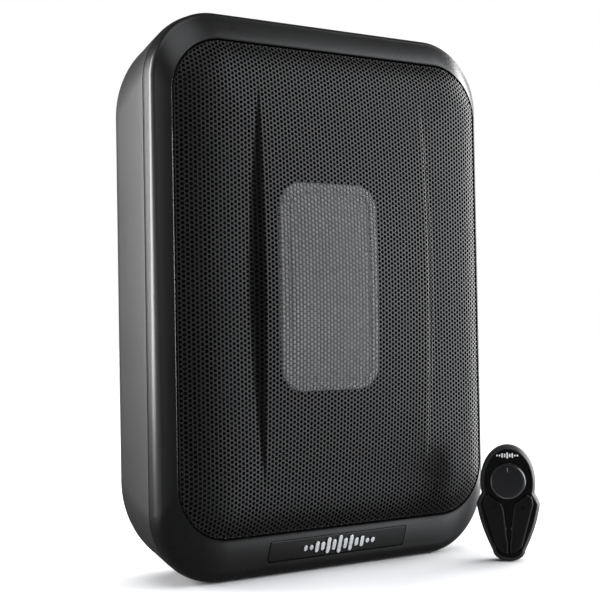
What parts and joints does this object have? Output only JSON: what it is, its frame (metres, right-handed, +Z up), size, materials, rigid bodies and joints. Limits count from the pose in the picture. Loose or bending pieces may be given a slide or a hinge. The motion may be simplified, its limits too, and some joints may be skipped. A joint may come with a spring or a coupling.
{
  "type": "powered car subwoofer",
  "caption": "Slim upright powered car subwoofer: domed perforated grille, racetrack driver, built-in amplifier and wired bass remote with knob and keys.",
  "frame": {"origin": "centre of the flat face of the lower end that the enclosure stands on", "axes": "+Z up along the long side, the grille faces -Y, +X to the right seen from the front"},
  "size_m": [0.25, 0.1319, 0.345],
  "materials": {
    "satin_black_plastic": "satin moulded ABS with a fine grain",
    "grille_paint": "satin black powder coat on perforated steel",
    "badge_satin": "moulded satin black",
    "badge_metal": "brushed along its length",
    "basket_steel": "black painted pressed steel",
    "rubber_black": "matt rubber",
    "spider_cloth": "phenolic-dipped cloth",
    "cone_black": "matt black injected polypropylene",
    "diaphragm_grey": "pale grey satin",
    "coil_copper": "enamelled copper winding",
    "motor_steel": "zinc plated",
    "ferrite": "ground ferrite",
    "fixing_steel": "black zinc plated",
    "terminal_black": "moulded",
    "heat_sink_alu": "sand-cast, black-grey anodised",
    "board_green": "solder mask",
    "component_black": "sleeved component",
    "connector_black": "moulded nylon",
    "jack_gold": "gold flash plated",
    "led_blue": "tinted lens",
    "remote_satin": "satin dark grey",
    "remote_gloss": "gloss black",
    "spun_metal": "spun, concentric brushing",
    "key_black": "matt soft-touch"
  },
  "bodies": {
    "enclosure": {"front_bezel": "satin_black_plastic", "rear_housing": "satin_black_plastic", "control_panel": "satin_black_plastic", "grille": "grille_paint", "badge_plate": "badge_satin", "badge_emblem": "badge_metal", "basket": "basket_steel", "gasket": "rubber_black", "surround": "rubber_black", "rear_foot_1": "rubber_black", "rear_foot_2": "rubber_black", "rear_foot_3": "rubber_black", "rear_foot_4": "rubber_black", "spider": "spider_cloth", "inductor": "coil_copper", "top_plate": "motor_steel", "back_plate": "motor_steel", "magnet": "ferrite", "terminal_strip": "terminal_black", "driver_screw_1": "fixing_steel", "driver_screw_2": "fixing_steel", "driver_screw_3": "fixing_steel", "driver_screw_4": "fixing_steel", "driver_screw_5": "fixing_steel", "driver_screw_6": "fixing_steel", "housing_screw_1": "fixing_steel", "housing_screw_2": "fixing_steel", "housing_screw_3": "fixing_steel", "housing_screw_4": "fixing_steel", "heat_sink": "heat_sink_alu", "amp_board": "board_green", "capacitor_1": "component_black", "capacitor_2": "component_black", "transistor_bank": "component_black", "power_socket": "connector_black", "high_level_socket": "connector_black", "remote_socket": "connector_black", "phase_switch_body": "connector_black", "rca_left": "jack_gold", "rca_right": "jack_gold", "power_led": "led_blue"},
    "diaphragm": {"cone": "cone_black", "centre_plate": "diaphragm_grey", "voice_coil": "coil_copper"},
    "gain_dial": {"gain_knob": "connector_black"},
    "lowpass_dial": {"lowpass_knob": "connector_black"},
    "boost_dial": {"boost_knob": "connector_black"},
    "phase_lever": {"phase_slider": "connector_black"},
    "remote": {"remote_rear_shell": "remote_satin", "remote_front_shell": "remote_satin", "remote_face_panel": "remote_gloss", "remote_board": "board_green", "remote_potentiometer": "motor_steel", "remote_jack": "connector_black", "remote_minus_switch": "connector_black", "remote_plus_switch": "connector_black"},
    "remote_dial": {"remote_knob": "spun_metal"},
    "minus_key": {"remote_minus_key": "key_black"},
    "plus_key": {"remote_plus_key": "key_black"}
  },
  "joints": [
    {"name": "diaphragm_excursion", "type": "slide", "parent": "enclosure", "child": "diaphragm", "axis": [0, -1, 0], "range_m": [-0.007, 0.007], "stiffness_N_per_m": 5000},
    {"name": "gain_turn", "type": "hinge", "parent": "enclosure", "child": "gain_dial", "pos_m": [0.014, 0.003, 0.3385], "axis": [0, 0, 1], "range_deg": [-150, 150]},
    {"name": "lowpass_turn", "type": "hinge", "parent": "enclosure", "child": "lowpass_dial", "pos_m": [0.028, 0.003, 0.3385], "axis": [0, 0, 1], "range_deg": [-150, 150]},
    {"name": "boost_turn", "type": "hinge", "parent": "enclosure", "child": "boost_dial", "pos_m": [0.042, 0.003, 0.3385], "axis": [0, 0, 1], "range_deg": [-150, 150]},
    {"name": "phase_slide", "type": "slide", "parent": "enclosure", "child": "phase_lever", "axis": [0, 1, 0], "range_m": [0, 0.004]},
    {"name": "remote_lift", "type": "slide", "parent": "enclosure", "child": "remote", "axis": [0, 0, 1], "range_m": [0, 0.12]},
    {"name": "remote_knob_turn", "type": "hinge", "parent": "remote", "child": "remote_dial", "pos_m": [0.1042, -0.0762, 0.0518], "axis": [0.682, 0.7314, 0], "range_deg": [-150, 150]},
    {"name": "minus_press", "type": "slide", "parent": "remote", "child": "minus_key", "axis": [0.682, 0.7314, 0], "range_m": [0, 0.0008], "stiffness_N_per_m": 400},
    {"name": "plus_press", "type": "slide", "parent": "remote", "child": "plus_key", "axis": [0.682, 0.7314, 0], "range_m": [0, 0.0008], "stiffness_N_per_m": 400}
  ]
}
